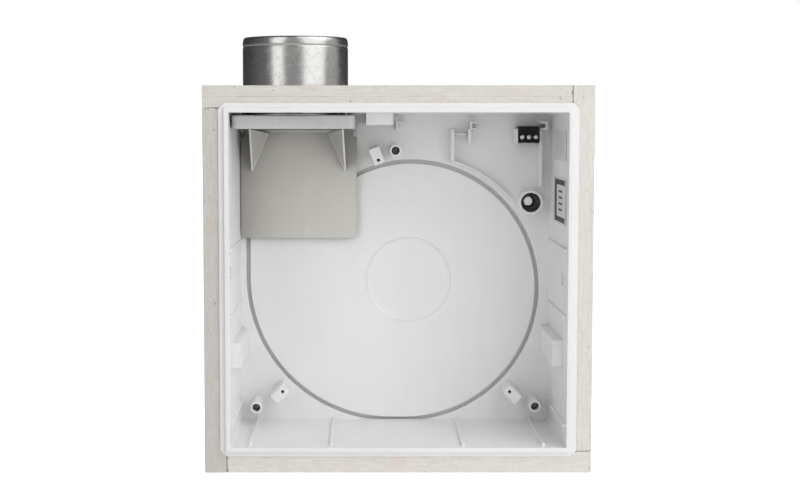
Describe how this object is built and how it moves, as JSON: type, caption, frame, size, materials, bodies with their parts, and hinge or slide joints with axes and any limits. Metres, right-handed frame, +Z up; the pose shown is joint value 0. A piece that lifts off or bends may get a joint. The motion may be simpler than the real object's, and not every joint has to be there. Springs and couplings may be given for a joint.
{
  "type": "extractor fan casing",
  "caption": "Recessed square fire-board casing for a bathroom extractor fan, open at the front, with a steel duct spigot on top and a hinged shut-off flap under the outlet.",
  "frame": {"origin": "centre of the bounding box's bottom face, on the underside of the lower board, midway between the lip's front and the back board's rear face", "axes": "+Z up towards the duct spigot, +Y from the open front to the back board, +X to the right seen from the front"},
  "size_m": [0.284, 0.1124, 0.32],
  "materials": {
    "fire_board": "chalky mineral board with fine pits",
    "casing_plastic": "satin moulded plastic",
    "galvanised_steel": "galvanised sheet",
    "mastic": "matt fire sealant",
    "frame_plastic": "satin light grey",
    "flap_plastic": "satin warm grey",
    "web_film": "thin soft film",
    "black_rubber": "soft black rubber",
    "plug_plastic": "satin",
    "terminal_plastic": "satin black",
    "brass": "plain brass",
    "bright_steel": "zinc plated",
    "screw_steel": "dark phosphated steel",
    "label_film": "blank sticker"
  },
  "bodies": {
    "casing_body": {"board_top": "fire_board", "board_right": "fire_board", "board_bottom": "fire_board", "board_left": "fire_board", "board_back": "fire_board", "jacket_screw_01": "screw_steel", "jacket_screw_02": "screw_steel", "jacket_screw_03": "screw_steel", "jacket_screw_04": "screw_steel", "jacket_screw_05": "screw_steel", "jacket_screw_06": "screw_steel", "jacket_screw_07": "screw_steel", "jacket_screw_08": "screw_steel", "jacket_screw_09": "screw_steel", "jacket_screw_10": "screw_steel", "jacket_screw_11": "screw_steel", "jacket_screw_12": "screw_steel", "jacket_screw_13": "screw_steel", "jacket_screw_14": "screw_steel", "jacket_screw_15": "screw_steel", "jacket_screw_16": "screw_steel", "casing": "casing_plastic", "casing_screw_1": "screw_steel", "casing_screw_2": "screw_steel", "casing_screw_3": "screw_steel", "casing_washer_1": "screw_steel", "casing_washer_2": "screw_steel", "casing_washer_3": "screw_steel", "cable_grommet": "black_rubber", "grommet_plug": "plug_plastic", "terminal_block": "terminal_plastic", "terminal_clamp_1": "brass", "terminal_clamp_2": "brass", "terminal_clamp_3": "brass", "terminal_screw_1": "bright_steel", "terminal_screw_2": "bright_steel", "terminal_screw_3": "bright_steel", "rating_label": "label_film", "wiring_label": "label_film", "duct_spigot": "galvanised_steel", "spigot_mastic": "mastic", "outlet_frame": "frame_plastic", "frame_screw_1": "screw_steel", "frame_screw_2": "screw_steel", "frame_screw_3": "screw_steel", "frame_screw_4": "screw_steel", "flap_web_left": "web_film", "flap_web_right": "web_film", "hinge_pin": "bright_steel"},
    "flap": {"shutoff_flap": "flap_plastic"}
  },
  "joints": [
    {"name": "flap_hinge", "type": "hinge", "parent": "casing_body", "child": "flap", "pos_m": [-0.07605, 0.02945, 0.2508], "axis": [-1, 0, 0], "range_deg": [0, 90], "deforming": ["flap_web_left", "flap_web_right"]}
  ]
}
